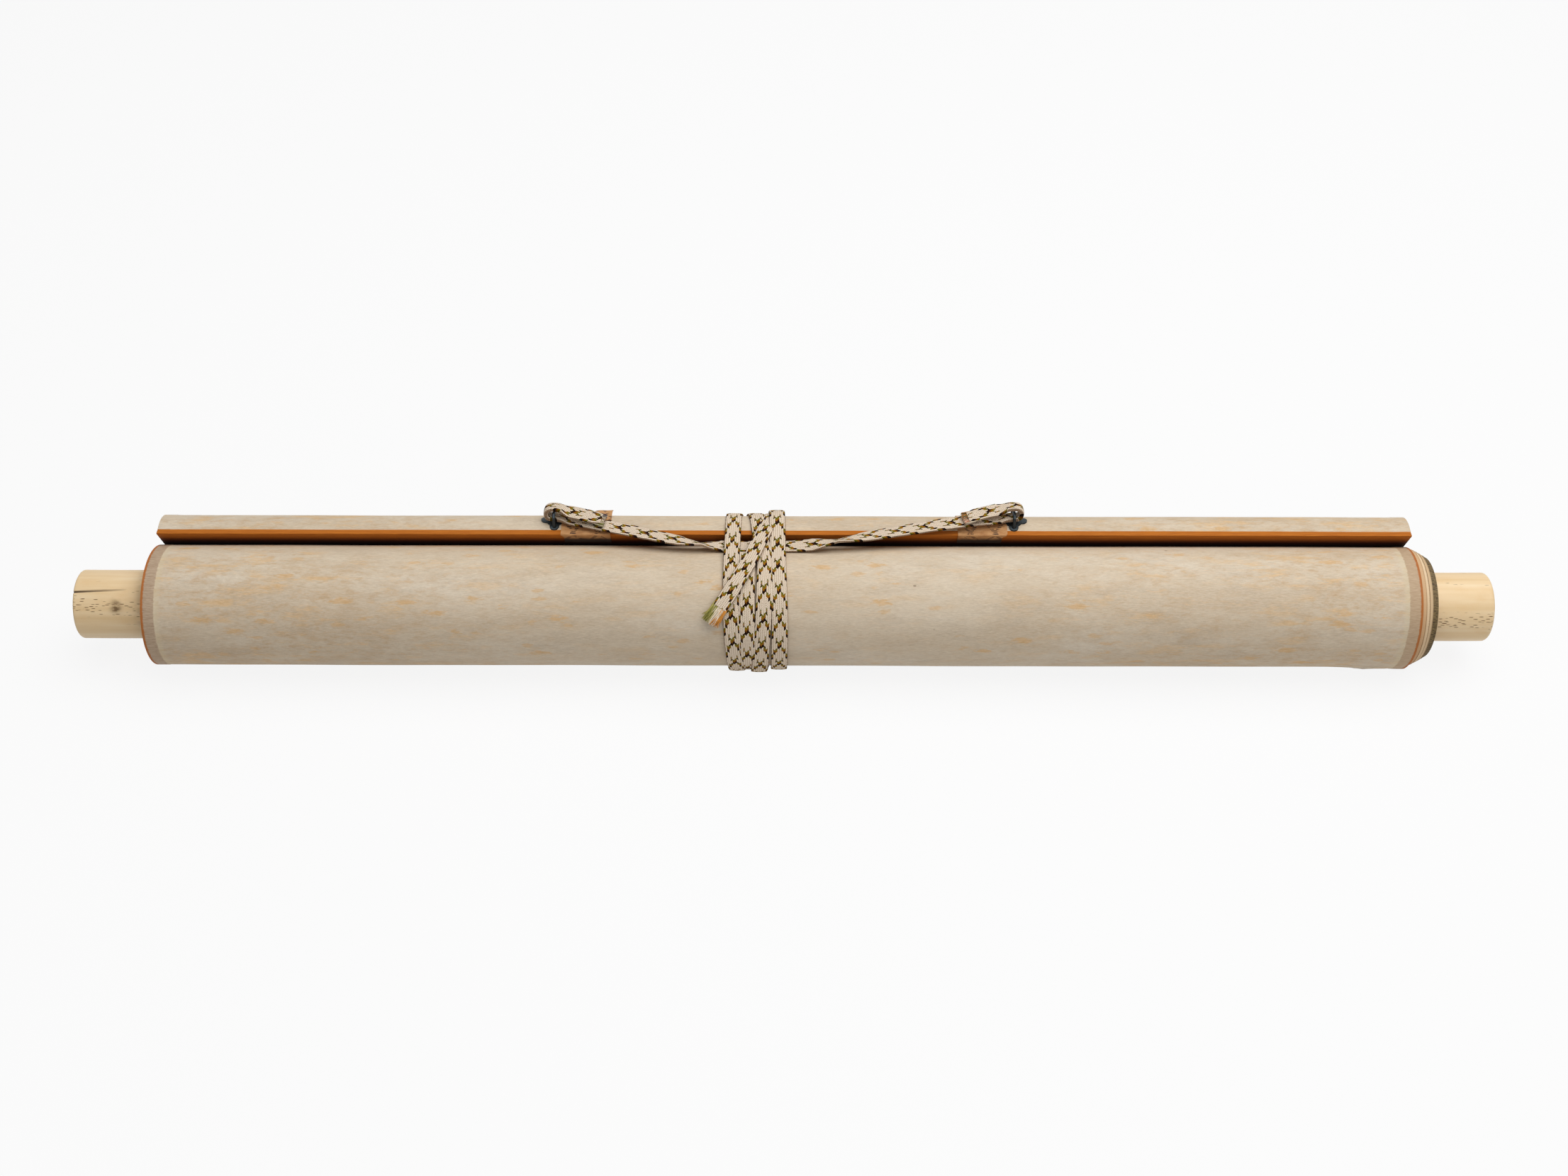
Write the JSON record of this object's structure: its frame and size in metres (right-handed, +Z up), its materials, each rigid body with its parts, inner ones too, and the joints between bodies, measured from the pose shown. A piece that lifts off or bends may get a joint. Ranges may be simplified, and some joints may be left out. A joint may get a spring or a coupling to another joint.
{
  "type": "rolled hanging scroll",
  "caption": "Rolled paper hanging scroll with bone knobs on its roller, a half-round top stave, and a flat braided cord that ties the roll.",
  "frame": {"origin": "under the roll, on the flat underside of the tie, where the scroll rests", "axes": "+X along the roller to the right, +Z up from the surface that it lies on, +Y to the stave's side"},
  "size_m": [0.6132, 0.0648, 0.0628],
  "materials": {
    "aged_paper": "matte",
    "plain_wood": "matte",
    "bone": "satin",
    "dark_metal": "satin",
    "patterned_paper": "matte",
    "silk_braid": "satin"
  },
  "bodies": {
    "root": {"hanging_cord": "silk_braid", "left_eyelet_plate": "dark_metal", "left_eyelet_staple": "dark_metal", "left_guard_patch": "patterned_paper", "left_knob": "bone", "right_eyelet_plate": "dark_metal", "right_eyelet_staple": "dark_metal", "right_guard_patch": "patterned_paper", "right_knob": "bone", "roller_core": "plain_wood", "scroll_sheet": "aged_paper", "tie_cord": "silk_braid", "tie_cord_tail": "silk_braid", "top_stave": "plain_wood"}
  },
  "joints": []
}
